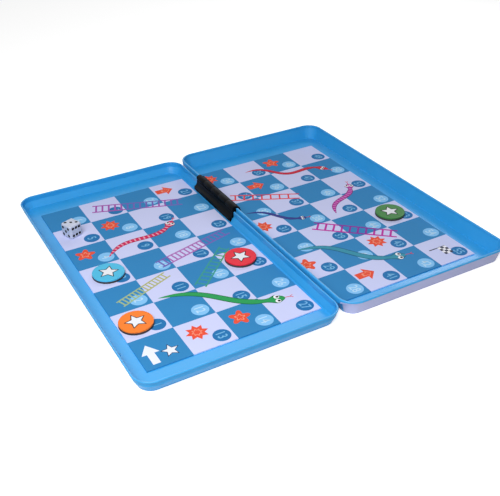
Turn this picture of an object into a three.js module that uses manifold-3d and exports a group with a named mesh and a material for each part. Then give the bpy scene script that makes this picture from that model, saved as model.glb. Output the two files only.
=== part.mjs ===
// Travel snakes and ladders game: two shallow tin trays on one black plastic hinge open flat into
// a magnetic playing board, with four magnetic counters and a die.
// Units are millimetres. While it is built the hinge line is x = 0, the lid tray lies at -X and the
// deeper base tray at +X, +Y runs away from the player, and both trays rest on z = 0. At the end the
// whole game is moved so that the middle of the open board is the origin.

import * as THREE from 'three'
import { LoftGeometry } from 'three/addons/geometries/LoftGeometry.js'
import { RoundedBoxGeometry } from 'three/addons/geometries/RoundedBoxGeometry.js'
import { mergeVertices } from 'three/addons/utils/BufferGeometryUtils.js'
import Module from 'manifold-3d'

const wasm = await Module()
wasm.setup()

// Playing board: half of the squares lie in each tray
const SQUARE = 22
const COLUMNS = 4
const ROWS = 7
const SHEET_THICK = 0.5
const SHEET_FIT = 0.05
const BOARD_WIDTH = COLUMNS * SQUARE
const BOARD_LENGTH = ROWS * SQUARE
const LID_SHEET_SHIFT = 0.2
const BASE_SHEET_SHIFT = 1.2
const BOARD_GAP = 6.1
const LID_SHEET_MARGIN = 0.85

// Pressed tin
const TIN = 0.3
const CORNER_STEPS = 8
const CURVE_STEPS = 4
const CURL_TURN = THREE.MathUtils.degToRad(250)

// Lid tray, on the left: an upright skirt under the rolled rim, then a wall that leans in
const LID_HEIGHT = 7
const LID_CURL = 1
const LID_SKIRT = 3
const LID_TAPER = 1.8
const LID_FOOT_RADIUS = 0.3
const LID_CORNER = 9
const OPEN_BORDER = 5.95
const END_BORDER = 11.5

// Base tray, on the right: deeper, with walls that lean in from the rim down
const BASE_HEIGHT = 8.8
const BASE_CURL = 1.2
const BASE_TAPER = 2.2
const BASE_FOOT_RADIUS = 0.2

// Closing: the gap between the two rims while the board is open, and when the case is shut
const OPEN_GAP = 0.6
const SHUT_GAP = 0.3
const PIN_HEIGHT = (LID_HEIGHT + BASE_HEIGHT + SHUT_GAP) / 2

// Dimples in the lid's open side
const DIMPLE_HEIGHT = 0.4
const DIMPLE_WIDTH = 3
const DIMPLE_BELOW_RIM = 1.7
const DIMPLE_ALONG_SHARES = [0.28, -0.36]
const BALL_SEGMENTS = 24

// Hinge: knuckles on the pin, and two leaves that straddle notches in the hinge walls
const HINGE_LENGTH = 45
const HINGE_ALONG_SHARE = 0.2035
const KNUCKLES = 5
const KNUCKLE_RADIUS = 1.9
const KNUCKLE_GAP = 0.3
const KNUCKLE_CLEARANCE = 0.25
const PIN_RADIUS = 0.7
const PIN_CLEARANCE = 0.15
const PIN_END_WALL = 1.3
const PIN_END_GAP = 0.2
const LEAF_FIT = 0.3
const LEAF_LIFT = 0.5
const LID_LEG_THICK = 0.75
const BASE_LEG_THICK = 1.2
const LEAF_ROUNDING = 0.4
const LIP_BELOW_NOTCH = 0.7
const SEAM_FIT = 0.35
const LID_NOTCH_HEIGHT = 2.9
const BASE_NOTCH_HEIGHT = 3.2
const LID_SHOULDER_RISE = 0.5
const LID_WAIST_RISE = 1.2
const LID_NECK_BITE = 0.7
const LID_NECK_WIDTH = 1.35
const BASE_LEAF_BELOW_RIM = 0.3
const BASE_BRIDGE_STEP = 0.5
const NOTCH_END_GAP = 0.4

// Counters: a printed disc on a magnet
const COUNTER_RADIUS = 8.25
const MAGNET_THICK = 1.4
const FACE_THICK = 0.4
const FACE_INSET = 0.1
const MAGNET_EDGE = 0.15
const FACE_EDGE = 0.1
const DISC_SEGMENTS = 40
const PIN_SEGMENTS = 20

// Die
const DIE_SIZE = 8
const DIE_ROUNDING = 0.9
const DIE_EDGE_STEPS = 2
const PIP_RADIUS = 0.85
const PIP_DEPTH = 0.4
const PIP_SEGMENTS = 12
const PIP_SPREAD_SHARE = 0.26
const DIE_TURN = THREE.MathUtils.degToRad(22)

// Where the loose pieces stand, as shares of the board half they lie on, from its near left corner
const PIECE_SHARES = {
  orange: { across: 0.097, along: 0.212 },
  light_blue: { across: 0.136, along: 0.503 },
  red: { across: 0.861, along: 0.365 },
  green: { across: 0.864, along: 0.357 },
  die: { across: 0.099, along: 0.807 }
}
const COUNTER_COLOURS = { orange: 0xf5822e, light_blue: 0x55b9e6, red: 0xdc2f45, green: 0x3f8f3c }

// One overrun serves every cut
const OVERRUN = 1

const blueTin = new THREE.MeshStandardMaterial({ color: 0x3f9fe0, roughness: 0.35, metalness: 0.1 })
const paleTin = new THREE.MeshStandardMaterial({ color: 0xbfc4e6, roughness: 0.4, metalness: 0.1 })
const printedVinyl = new THREE.MeshStandardMaterial({ color: 0xccd0f0, roughness: 0.45, metalness: 0 })
const blackPlastic = new THREE.MeshStandardMaterial({ color: 0x17181c, roughness: 0.45, metalness: 0 })
const steel = new THREE.MeshStandardMaterial({ color: 0xb8bcc2, roughness: 0.3, metalness: 1 })
const magnetRubber = new THREE.MeshStandardMaterial({ color: 0x26262a, roughness: 0.8, metalness: 0 })
const dieWhite = new THREE.MeshStandardMaterial({ color: 0xf2f2f4, roughness: 0.25, metalness: 0 })

const SHEET_TOP = TIN + SHEET_THICK

// The lid's plan follows the board sheet in it, and the base's rim is as large as the lid's, so that
// the two rims meet when the case is shut
const lid = {
  curl: LID_CURL,
  taper: LID_TAPER,
  skirt: LID_SKIRT,
  height: LID_HEIGHT,
  footRadius: LID_FOOT_RADIUS,
  corner: LID_CORNER
}
lid.floorInset = lid.curl + lid.taper + lid.footRadius
lid.hingeSide = OPEN_GAP / 2
lid.sheetEdge = lid.hingeSide + lid.floorInset + LID_SHEET_MARGIN
lid.reach = lid.sheetEdge + BOARD_WIDTH + OPEN_BORDER + lid.floorInset
lid.length = BOARD_LENGTH + 2 * (END_BORDER + lid.floorInset)
lid.minX = -lid.reach
lid.maxX = -lid.hingeSide
lid.boardX = -lid.sheetEdge - BOARD_WIDTH
lid.boardY = -BOARD_LENGTH / 2 - LID_SHEET_SHIFT
const HINGE_Y = HINGE_ALONG_SHARE * lid.length

const base = {
  curl: BASE_CURL,
  taper: BASE_TAPER,
  skirt: BASE_CURL,
  height: BASE_HEIGHT,
  footRadius: BASE_FOOT_RADIUS,
  corner: lid.corner
}
base.floorInset = base.curl + base.taper + base.footRadius
base.hingeSide = lid.hingeSide
base.reach = lid.reach
base.length = lid.length
base.minX = base.hingeSide
base.maxX = base.reach
base.boardX = BOARD_GAP - lid.sheetEdge
base.boardY = -BOARD_LENGTH / 2 - BASE_SHEET_SHIFT

// The base's sheet is trimmed along the hinge, where its floor ends before the first column does
lid.sheetX = lid.boardX
base.sheetX = base.hingeSide + base.floorInset + SHEET_FIT

function toSolid (geometry) {
  const bare = new THREE.BufferGeometry().copy(geometry)
  bare.deleteAttribute('normal')
  bare.deleteAttribute('uv')
  const merged = mergeVertices(bare)
  return new wasm.Manifold(new wasm.Mesh({
    numProp: 3,
    vertProperties: new Float32Array(merged.attributes.position.array),
    triVerts: new Uint32Array(merged.index.array)
  }))
}

function toGeometry (solid) {
  const mesh = solid.getMesh()
  const geometry = new THREE.BufferGeometry()
  geometry.setAttribute('position', new THREE.BufferAttribute(mesh.vertProperties, mesh.numProp))
  geometry.setIndex(new THREE.BufferAttribute(mesh.triVerts, 1))
  geometry.computeVertexNormals()
  return geometry
}

function namedMesh (name, geometry, material) {
  const mesh = new THREE.Mesh(geometry, material)
  mesh.name = name
  return mesh
}

// Section of a tray's wall, x as the inset from the rim's outer edge and y as the height: from the
// underside up the outside, round the rolled rim, down the inside to the floor and closed there
function trayProfile (tray) {
  const lean = tray.taper / (tray.height - tray.skirt - TIN)
  const skirtFoot = tray.height - tray.skirt
  const innerFoot = tray.curl + tray.taper
  const outerFoot = innerFoot + lean * TIN - TIN
  const curlRadius = tray.curl / 2
  const curlHeight = tray.height - curlRadius
  const foot = tray.footRadius
  const path = new THREE.Path()
  path.moveTo(outerFoot + foot, 0)
  path.quadraticCurveTo(outerFoot, 0, outerFoot - lean * foot, foot)
  if (tray.taper > 0) path.lineTo(tray.curl - TIN, skirtFoot)
  path.absarc(curlRadius, curlHeight, curlRadius - TIN, 0, CURL_TURN, false)
  path.absarc(curlRadius, curlHeight, curlRadius, CURL_TURN, 0, true)
  if (tray.taper > 0) path.lineTo(tray.curl, skirtFoot)
  path.lineTo(innerFoot - lean * foot, TIN + foot)
  path.quadraticCurveTo(innerFoot, TIN, innerFoot + foot, TIN)
  path.lineTo(innerFoot + foot, 0)
  path.closePath()
  return path.getPoints(CURVE_STEPS)
}

// Rounded rectangle at one inset and height, counterclockwise seen from above
function traySection (tray, inset, height) {
  const radius = tray.corner - inset
  const centres = [
    [tray.maxX - tray.corner, tray.length / 2 - tray.corner],
    [tray.minX + tray.corner, tray.length / 2 - tray.corner],
    [tray.minX + tray.corner, -tray.length / 2 + tray.corner],
    [tray.maxX - tray.corner, -tray.length / 2 + tray.corner]
  ]
  const points = []
  centres.forEach(([x, y], quarter) => {
    for (let step = 0; step <= CORNER_STEPS; step++) {
      const angle = (quarter + step / CORNER_STEPS) * Math.PI / 2
      points.push(new THREE.Vector3(x + radius * Math.cos(angle), y + radius * Math.sin(angle), height))
    }
  })
  return points
}

// The wall is a closed ring, and the floor is a plate that ends inside the wall's foot
function trayShell (tray) {
  const profile = trayProfile(tray)
  const wall = new LoftGeometry(profile.map(point => traySection(tray, point.x, point.y)))
  const floorSections = [0, TIN].map(height => traySection(tray, profile[0].x, height))
  const floor = new LoftGeometry(floorSections, { capStart: true, capEnd: true })
  return toSolid(wall).add(toSolid(floor))
}

// Opening in a hinge wall for the knuckles: a box that leaves the wall below the notch height
function hingeNotch (tray, notchHeight, side) {
  const width = tray.hingeSide + tray.floorInset + OVERRUN
  const height = tray.height - notchHeight + OVERRUN
  const length = HINGE_LENGTH + 2 * NOTCH_END_GAP
  const box = new THREE.BoxGeometry(width, length, height)
  box.translate(side * width / 2, HINGE_Y, notchHeight + height / 2)
  return toSolid(box)
}

// The part of a ball between its crown, which points to +X, and a flat cut at x = cutX
function domeCap (radius, crownX, cutX, y, z) {
  const ball = new THREE.SphereGeometry(radius, BALL_SEGMENTS, BALL_SEGMENTS / 2)
  ball.rotateZ(Math.PI / 2)
  ball.translate(crownX - radius, y, z)
  const keep = new THREE.BoxGeometry(radius, 2 * radius, 2 * radius)
  keep.translate(cutX + radius / 2, y, z)
  return toSolid(ball).intersect(toSolid(keep))
}

// Dimple: a dome pressed inwards from outside, the same depth on both faces of the tin
function pressDimple (shell, y) {
  const domeRadius = (DIMPLE_WIDTH ** 2 / 4 + DIMPLE_HEIGHT ** 2) / (2 * DIMPLE_HEIGHT)
  const wallX = lid.minX + lid.curl
  const z = lid.height - DIMPLE_BELOW_RIM
  const bump = domeCap(domeRadius, wallX + DIMPLE_HEIGHT, wallX - TIN / 2, y, z)
  const recess = domeCap(domeRadius, wallX - TIN + DIMPLE_HEIGHT, wallX - TIN - DIMPLE_HEIGHT, y, z)
  return shell.add(bump).subtract(recess)
}

function lidTray () {
  let shell = trayShell(lid).subtract(hingeNotch(lid, LID_NOTCH_HEIGHT, -1))
  for (const share of DIMPLE_ALONG_SHARES) shell = pressDimple(shell, share * lid.length)
  return namedMesh('lid_tray', toGeometry(shell), blueTin)
}

function baseTray () {
  const shell = trayShell(base).subtract(hingeNotch(base, BASE_NOTCH_HEIGHT, 1))
  return namedMesh('base_tray', toGeometry(shell), paleTin)
}

function boardSheet (name, tray) {
  const width = tray.boardX + BOARD_WIDTH - tray.sheetX
  const sheet = namedMesh(name, new THREE.BoxGeometry(width, BOARD_LENGTH, SHEET_THICK), printedVinyl)
  sheet.position.set(tray.sheetX + width / 2, tray.boardY + BOARD_LENGTH / 2, TIN + SHEET_THICK / 2)
  return sheet
}

// Distance from the hinge line to the inside of a tray's hinge wall at a height
function hingeWallInside (tray, height) {
  const lean = tray.taper / (tray.height - tray.skirt - TIN)
  return tray.hingeSide + tray.curl + lean * Math.max(0, tray.height - tray.skirt - height)
}

// Lid leaf, seen along the pin: a leg inside the lid, a saddle over the notch and a lip outside it
function lidLeafOutline () {
  const legFoot = SHEET_TOP + LEAF_LIFT
  const slotTop = LID_NOTCH_HEIGHT + LEAF_FIT
  const lipFoot = LID_NOTCH_HEIGHT - LIP_BELOW_NOTCH
  const insideWall = height => -hingeWallInside(lid, height) - LEAF_FIT
  const outsideWall = height => -hingeWallInside(lid, height) + TIN + LEAF_FIT
  const legFace = insideWall(legFoot) - LID_LEG_THICK
  const neck = -SEAM_FIT - LID_NECK_WIDTH
  const neckTop = PIN_HEIGHT - KNUCKLE_RADIUS + LID_NECK_BITE
  const waist = LID_NOTCH_HEIGHT + LID_WAIST_RISE
  const shape = new THREE.Shape()
  shape.moveTo(legFace, legFoot)
  shape.lineTo(insideWall(legFoot), legFoot)
  shape.lineTo(insideWall(LID_NOTCH_HEIGHT), slotTop)
  shape.lineTo(outsideWall(LID_NOTCH_HEIGHT), slotTop)
  shape.lineTo(outsideWall(lipFoot), lipFoot)
  shape.lineTo(-SEAM_FIT, lipFoot)
  shape.lineTo(-SEAM_FIT, neckTop)
  shape.lineTo(neck, neckTop)
  shape.quadraticCurveTo(neck, waist, legFace, LID_NOTCH_HEIGHT + LID_SHOULDER_RISE)
  return shape
}

// Base leaf, seen along the pin: a leg inside the base and a lip outside it, joined over the notch
function baseLeafOutline () {
  const legFoot = SHEET_TOP + LEAF_LIFT
  const legTop = BASE_HEIGHT - BASE_LEAF_BELOW_RIM
  const slotTop = BASE_NOTCH_HEIGHT + LEAF_FIT
  const lipFoot = BASE_NOTCH_HEIGHT - LIP_BELOW_NOTCH
  const bridgeTop = legTop - BASE_BRIDGE_STEP
  const legBack = height => hingeWallInside(base, height) + LEAF_FIT
  const legFace = height => legBack(height) + BASE_LEG_THICK
  const lipBack = height => hingeWallInside(base, height) - TIN - LEAF_FIT
  const lipFace = base.hingeSide - LEAF_FIT / 2
  const shape = new THREE.Shape()
  shape.moveTo(legBack(legFoot), legFoot)
  shape.lineTo(legFace(legFoot), legFoot)
  shape.lineTo(legFace(legTop), legTop - LEAF_ROUNDING)
  shape.quadraticCurveTo(legFace(legTop), legTop, legFace(legTop) - LEAF_ROUNDING, legTop)
  shape.lineTo(legBack(legTop), legTop)
  shape.lineTo(legBack(legTop), bridgeTop)
  shape.lineTo(lipFace, bridgeTop)
  shape.lineTo(lipFace, PIN_HEIGHT - KNUCKLE_RADIUS)
  shape.lineTo(lipBack(lipFoot) - BASE_LEG_THICK, lipFoot)
  shape.lineTo(lipBack(lipFoot), lipFoot)
  shape.lineTo(lipBack(BASE_NOTCH_HEIGHT), slotTop)
  shape.lineTo(legBack(BASE_NOTCH_HEIGHT), slotTop)
  return shape
}

// A cylinder about the pin's axis between two places along it
function aboutPin (radius, startY, endY) {
  const cylinder = new THREE.CylinderGeometry(radius, radius, endY - startY, DISC_SEGMENTS)
  cylinder.translate(0, (startY + endY) / 2, PIN_HEIGHT)
  return toSolid(cylinder)
}

function hingeLeaf (name, outline, ownsKnuckle) {
  const startY = HINGE_Y - HINGE_LENGTH / 2
  const pitch = HINGE_LENGTH / KNUCKLES
  const settings = { depth: HINGE_LENGTH, bevelEnabled: false, curveSegments: CURVE_STEPS }
  const leaf = new THREE.ExtrudeGeometry(outline, settings)
  leaf.rotateX(Math.PI / 2)
  leaf.translate(0, startY + HINGE_LENGTH, 0)
  let solid = toSolid(leaf)
  for (let index = 0; index < KNUCKLES; index++) {
    const nearGap = index === 0 ? 0 : KNUCKLE_GAP / 2
    const farGap = index === KNUCKLES - 1 ? 0 : KNUCKLE_GAP / 2
    const near = startY + index * pitch
    const far = near + pitch
    if (ownsKnuckle(index)) solid = solid.add(aboutPin(KNUCKLE_RADIUS, near + nearGap, far - farGap))
    else solid = solid.subtract(aboutPin(KNUCKLE_RADIUS + KNUCKLE_CLEARANCE, near - nearGap, far + farGap))
  }
  const bore = aboutPin(PIN_RADIUS + PIN_CLEARANCE, startY + PIN_END_WALL, startY + HINGE_LENGTH + OVERRUN)
  return namedMesh(name, toGeometry(solid.subtract(bore)), blackPlastic)
}

function hingePin () {
  const length = HINGE_LENGTH - PIN_END_WALL - 2 * PIN_END_GAP
  const rod = new THREE.CylinderGeometry(PIN_RADIUS, PIN_RADIUS, length, PIN_SEGMENTS)
  const pin = namedMesh('hinge_pin', rod, steel)
  pin.position.set(0, HINGE_Y + PIN_END_WALL / 2, PIN_HEIGHT)
  return pin
}

// A flat disc with broken edges, standing on z = 0
function disc (radius, thick, edge) {
  const profile = [
    new THREE.Vector2(0, 0),
    new THREE.Vector2(radius - edge, 0),
    new THREE.Vector2(radius, edge),
    new THREE.Vector2(radius, thick - edge),
    new THREE.Vector2(radius - edge, thick),
    new THREE.Vector2(0, thick)
  ]
  const geometry = new THREE.LatheGeometry(profile, DISC_SEGMENTS)
  geometry.rotateX(Math.PI / 2)
  return geometry
}

function placeOnBoard (tray, { across, along }) {
  return new THREE.Vector3(tray.boardX + across * BOARD_WIDTH, tray.boardY + along * BOARD_LENGTH, SHEET_TOP)
}

function counter (colour, tray) {
  const group = new THREE.Group()
  const printed = new THREE.MeshStandardMaterial({ color: COUNTER_COLOURS[colour], roughness: 0.4 })
  const magnetDisc = disc(COUNTER_RADIUS, MAGNET_THICK, MAGNET_EDGE)
  const faceDisc = disc(COUNTER_RADIUS - FACE_INSET, FACE_THICK, FACE_EDGE)
  const face = namedMesh(`counter_${colour}_face`, faceDisc, printed)
  face.position.z = MAGNET_THICK
  group.add(namedMesh(`counter_${colour}_magnet`, magnetDisc, magnetRubber), face)
  group.position.copy(placeOnBoard(tray, PIECE_SHARES[colour]))
  return group
}

// Pips of each face in steps of the pip spread, first across and then up the face
const PIP_PLACES = {
  1: [[0, 0]],
  2: [[-1, 1], [1, -1]],
  3: [[-1, 1], [0, 0], [1, -1]],
  4: [[-1, 1], [1, -1], [-1, -1], [1, 1]],
  5: [[-1, 1], [1, -1], [-1, -1], [1, 1], [0, 0]],
  6: [[-1, 1], [0, 1], [1, 1], [-1, -1], [0, -1], [1, -1]]
}

// Which way each number faces, and the direction that runs across that face
const PIP_FACES = {
  1: { facing: new THREE.Vector3(0, 1, 0), across: new THREE.Vector3(1, 0, 0) },
  2: { facing: new THREE.Vector3(1, 0, 0), across: new THREE.Vector3(0, 1, 0) },
  3: { facing: new THREE.Vector3(0, 0, 1), across: new THREE.Vector3(1, 0, 0) },
  4: { facing: new THREE.Vector3(0, 0, -1), across: new THREE.Vector3(1, 0, 0) },
  5: { facing: new THREE.Vector3(-1, 0, 0), across: new THREE.Vector3(0, 1, 0) },
  6: { facing: new THREE.Vector3(0, -1, 0), across: new THREE.Vector3(1, 0, 0) }
}

function die (tray) {
  const spread = PIP_SPREAD_SHARE * DIE_SIZE
  let solid = toSolid(new RoundedBoxGeometry(DIE_SIZE, DIE_SIZE, DIE_SIZE, DIE_EDGE_STEPS, DIE_ROUNDING))
  for (const [number, places] of Object.entries(PIP_PLACES)) {
    const { facing, across } = PIP_FACES[number]
    const up = facing.clone().cross(across)
    for (const [stepAcross, stepUp] of places) {
      const centre = facing.clone().multiplyScalar(DIE_SIZE / 2 + PIP_RADIUS - PIP_DEPTH)
      centre.addScaledVector(across, stepAcross * spread).addScaledVector(up, stepUp * spread)
      const ball = new THREE.SphereGeometry(PIP_RADIUS, PIP_SEGMENTS, PIP_SEGMENTS / 2)
      ball.translate(centre.x, centre.y, centre.z)
      solid = solid.subtract(toSolid(ball))
    }
  }
  const mesh = namedMesh('die', toGeometry(solid), dieWhite)
  mesh.rotation.z = DIE_TURN
  mesh.position.copy(placeOnBoard(tray, PIECE_SHARES.die))
  mesh.position.z += DIE_SIZE / 2
  return mesh
}

const isLidKnuckle = index => index % 2 === 0

const baseHalf = new THREE.Group()
baseHalf.add(baseTray())
baseHalf.add(boardSheet('base_board_sheet', base))
baseHalf.add(hingeLeaf('hinge_base_leaf', baseLeafOutline(), index => !isLidKnuckle(index)))
baseHalf.add(hingePin())
baseHalf.add(counter('green', base))

const lidHalf = new THREE.Group()
lidHalf.add(lidTray())
lidHalf.add(boardSheet('lid_board_sheet', lid))
lidHalf.add(hingeLeaf('hinge_lid_leaf', lidLeafOutline(), isLidKnuckle))
lidHalf.add(counter('orange', lid))
lidHalf.add(counter('light_blue', lid))
lidHalf.add(counter('red', lid))
lidHalf.add(die(lid))

const game = new THREE.Group()
game.add(baseHalf, lidHalf)
game.position.x = -(lid.minX + base.maxX) / 2

export default game
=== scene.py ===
import math

import bmesh
import bpy
import numpy as np
from bpy.props import FloatProperty, FloatVectorProperty, PointerProperty
from mathutils import Matrix, Vector


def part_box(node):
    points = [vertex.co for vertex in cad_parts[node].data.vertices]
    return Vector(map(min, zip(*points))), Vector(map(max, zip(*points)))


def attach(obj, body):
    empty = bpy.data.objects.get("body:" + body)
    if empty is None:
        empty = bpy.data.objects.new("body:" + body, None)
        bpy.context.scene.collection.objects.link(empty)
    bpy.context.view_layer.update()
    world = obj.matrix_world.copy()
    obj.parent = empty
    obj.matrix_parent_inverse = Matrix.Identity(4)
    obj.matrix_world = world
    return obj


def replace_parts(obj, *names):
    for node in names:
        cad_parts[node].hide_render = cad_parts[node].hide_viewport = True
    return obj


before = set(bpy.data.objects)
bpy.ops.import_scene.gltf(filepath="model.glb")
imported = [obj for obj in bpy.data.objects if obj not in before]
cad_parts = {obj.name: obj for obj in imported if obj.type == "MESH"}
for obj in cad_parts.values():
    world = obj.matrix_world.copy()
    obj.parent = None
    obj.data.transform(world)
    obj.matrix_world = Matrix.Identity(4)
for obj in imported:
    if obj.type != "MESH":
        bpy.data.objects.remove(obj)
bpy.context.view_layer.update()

bl_info = {
    "name": "Travel Snakes and Ladders Game",
    "version": (1, 0, 0),
    "blender": (4, 5, 0),
    "location": "3D View > Sidebar > Travel Game",
    "description": "Dresses a hinged tin board game case: trays, printed board, hinge, counters and die",
    "category": "Add Mesh",
}

MM = 0.001
COLUMNS = 4
ROWS = 7

# Points closer than this are one point
WELD = 0.001 * MM


def linear(hex_colour):
    """sRGB hex to linear: c / 12.92 up to 0.04045, above it ((c + 0.055) / 1.055) to the power of 2.4."""
    srgb = np.array([int(hex_colour[i:i + 2], 16) for i in (1, 3, 5)]) / 255
    curved = ((srgb + 0.055) / 1.055) ** 2.4
    return tuple(np.where(srgb <= 0.04045, srgb / 12.92, curved).tolist())


def length(name, description, millimetres):
    return FloatProperty(name=name, description=description, default=millimetres * MM, min=0,
                         unit="LENGTH", subtype="DISTANCE", precision=5)


def colour(name, description, hex_colour):
    return FloatVectorProperty(name=name, description=description, default=linear(hex_colour),
                               min=0, max=1, size=3, subtype="COLOR")


def power(name, description, watts):
    return FloatProperty(name=name, description=description, default=watts, min=0, unit="POWER")


# Settings

class LidTraySettings(bpy.types.PropertyGroup):
    curl: length("Rolled rim", "Diameter of the rolled rim", 1.0)
    taper: length("Taper", "How far the wall leans in from the skirt down to the floor", 1.8)
    skirt: length("Skirt", "Height of the upright skirt under the rim", 3.0)
    foot: length("Foot radius", "Radius between the wall and the floor", 0.3)
    corner: length("Corner radius", "Radius of the tray's corners seen from above", 9.0)
    notch: length("Notch height", "Height of the wall left under the hinge", 2.9)
    dimple: length("Dimple depth", "Depth of the two dimples", 1.2)


class BaseTraySettings(bpy.types.PropertyGroup):
    curl: length("Rolled rim", "Diameter of the rolled rim", 1.2)
    taper: length("Taper", "How far the wall leans in from the rim down to the floor", 2.2)
    skirt: length("Skirt", "Height of the upright skirt under the rim", 1.2)
    foot: length("Foot radius", "Radius between the wall and the floor", 0.2)
    corner: length("Corner radius", "Radius of the tray's corners seen from above", 9.0)
    notch: length("Notch height", "Height of the wall left under the hinge", 3.2)
    hem: length("Hem", "How far the rim's edge hangs straight down along the hinge", 2.2)


class TinSettings(bpy.types.PropertyGroup):
    thickness: length("Tin thickness", "Thickness of the tinplate", 0.3)
    blue: colour("Blue enamel", "Enamel of the lid and of the base's inside", "#2f9fe0")
    pale: colour("Pale enamel", "Enamel of the base's outside", "#b9c0ea")


class PrintSettings(bpy.types.PropertyGroup):
    film: length("Ink thickness", "Thickness of a printed shape", 0.02)
    disc: length("Number disc", "Diameter of a number's disc", 8.6)
    digit: length("Digit height", "Height of the numbers", 4.6)
    blue: colour("Blue square", "The darker squares", "#3686bf")
    white: colour("White square", "The paler squares", "#d0d5fa")
    dark_disc: colour("Dark disc", "Number discs on white squares", "#2a74b0")
    pale_disc: colour("Pale disc", "Number discs on blue squares", "#88c6f5")
    pale_digit: colour("Pale digit", "Numbers on blue squares", "#bbdffa")
    blue_digit: colour("Blue digit", "Numbers on white squares", "#78b8e2")
    badge: colour("Badge", "The red badges", "#ea553c")


class PieceSettings(bpy.types.PropertyGroup):
    orange: colour("Orange counter", "Face of the orange counter", "#f9802c")
    light_blue: colour("Light blue counter", "Face of the light blue counter", "#4fbde4")
    red: colour("Red counter", "Face of the red counter", "#e62a3c")
    green: colour("Green counter", "Face of the green counter", "#3c7f3c")
    magnet: colour("Magnet", "Magnet rubber under the faces", "#2c292c")
    lap: length("Label lap", "How far the label's edge reaches down over the magnet", 0.35)
    die: colour("Die", "Body of the die", "#c8cfe2")
    pip: length("Pip depth", "Depth of the die's pips", 0.35)


class HingeSettings(bpy.types.PropertyGroup):
    plastic: colour("Plastic", "Black plastic of both leaves", "#06080b")
    edge: length("Edge radius", "Rounding of the moulded edges", 0.18)


class StageSettings(bpy.types.PropertyGroup):
    front: power("Front lamp", "Power of the lamp above the near left corner", 1.95)
    back: power("Back lamp", "Power of the wide lamp behind", 1.15)
    right: power("Right lamp", "Power of the low lamp on the right", 0.27)
    fill: FloatProperty(name="Surround", description="Strength of the light from all round",
                        default=0.05, min=0)
    floor: colour("Floor", "Colour of the floor", "#f6f6f6")


class GameSettings(bpy.types.PropertyGroup):
    lid: PointerProperty(type=LidTraySettings)
    base: PointerProperty(type=BaseTraySettings)
    tin: PointerProperty(type=TinSettings)
    print: PointerProperty(type=PrintSettings)
    pieces: PointerProperty(type=PieceSettings)
    hinge: PointerProperty(type=HingeSettings)
    stage: PointerProperty(type=StageSettings)


# Meshes

def grid_quads(rows, columns, wrap=True):
    """Quads of a grid, row by row. With wrap, the last column is joined to the first."""
    r, c = np.meshgrid(np.arange(rows - 1), np.arange(columns if wrap else columns - 1), indexing="ij")
    n = (c + 1) % columns
    quads = [r * columns + c, r * columns + n, (r + 1) * columns + n, (r + 1) * columns + c]
    return np.stack(quads, -1).reshape(-1, 4)


def join_parts(parts):
    """One list each of vertices, faces, slots and pattern places out of all parts."""
    vertices, faces, slots, patterns, start = [], [], [], [], 0
    for part in parts:
        points = np.asarray(part[0], float).reshape(-1, 3)
        vertices.append(points)
        faces.extend((np.asarray(face) + start).tolist() for face in part[1])
        slots.extend([part[2]] * len(part[1]))
        patterns.append(part[3] if len(part) > 3 else np.zeros((len(points), 2)))
        start += len(points)
    return np.concatenate(vertices), faces, slots, np.concatenate(patterns)


def add_object(name, data):
    """Object of a mesh, lamp, camera or text, put into the scene."""
    thing = bpy.data.objects.new(name, data)
    bpy.context.scene.collection.objects.link(thing)
    return thing


def smooth(mesh, sharp):
    """Smooth faces, but for edges over the angle."""
    mesh.polygons.foreach_set("use_smooth", [True] * len(mesh.polygons))
    mesh.set_sharp_from_angle(angle=math.radians(sharp))


def make_piece(name, parts, materials, body, sharp=35, outward=True):
    """Welded mesh object out of (vertices, faces, material number, pattern place per vertex) parts."""
    vertices, faces, slots, patterns = join_parts(parts)
    mesh = bpy.data.meshes.new(name)
    mesh.from_pydata(vertices.tolist(), [], faces)
    for material in materials:
        mesh.materials.append(material)
    mesh.polygons.foreach_set("material_index", slots)
    corners = np.zeros(len(mesh.loops), int)
    mesh.loops.foreach_get("vertex_index", corners)
    mesh.uv_layers.new(name="Pattern").data.foreach_set("uv", patterns[corners].ravel())
    shape = bmesh.new()
    shape.from_mesh(mesh)
    bmesh.ops.remove_doubles(shape, verts=shape.verts, dist=WELD)
    bmesh.ops.dissolve_degenerate(shape, edges=shape.edges, dist=WELD / 2)
    if outward:
        bmesh.ops.recalc_face_normals(shape, faces=shape.faces)
    shape.to_mesh(mesh)
    shape.free()
    smooth(mesh, sharp)
    piece = add_object(name, mesh)
    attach(piece, body)
    return piece


def shaped_mesh(thing):
    """The mesh that an object's modifiers or letters come to."""
    bpy.context.view_layer.update()
    return bpy.data.meshes.new_from_object(thing.evaluated_get(bpy.context.evaluated_depsgraph_get()))


def finish_shape(piece, sharp=35):
    """Puts the modifiers into the mesh."""
    mesh = shaped_mesh(piece)
    piece.modifiers.clear()
    piece.data = mesh
    smooth(mesh, sharp)


def even_turns(steps):
    """Angles round a full turn."""
    return np.linspace(0, 2 * math.pi, steps, endpoint=False)


def directions(angles):
    """(cos a, sin a)."""
    return np.stack([np.cos(angles), np.sin(angles)], -1)


def polar_film(outline, centre, low, thickness):
    """Flat closed shape: centre + k * outline, k from 0 to 1 on top, down the edge and back to 0 underneath.
    The pattern place is (k, turn round the outline)."""
    outline = np.asarray(outline, float)
    shares = np.array([0.0, 1.0, 1.0, 0.0])
    points = np.zeros((4, len(outline), 3))
    points[..., :2] = centre + shares[:, None, None] * outline
    points[..., 2] = low + thickness * np.array([1, 1, 0, 0])[:, None]
    turn = np.linspace(0, 1, len(outline), endpoint=False)
    pattern = np.stack(np.broadcast_arrays(shares[:, None], turn[None]), -1)
    return points.reshape(-1, 3), grid_quads(4, len(outline)), pattern.reshape(-1, 2)


def circle(radius, steps):
    """(r cos t, r sin t)."""
    return radius * directions(even_turns(steps))


def star(radius, points, depth, turned=0.0):
    """Straight-sided star: tips at r, and between them notches at r * depth."""
    reach = radius * np.where(np.arange(2 * points) % 2 == 0, 1, depth)
    return reach[:, None] * directions(even_turns(2 * points) + turned)


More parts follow.
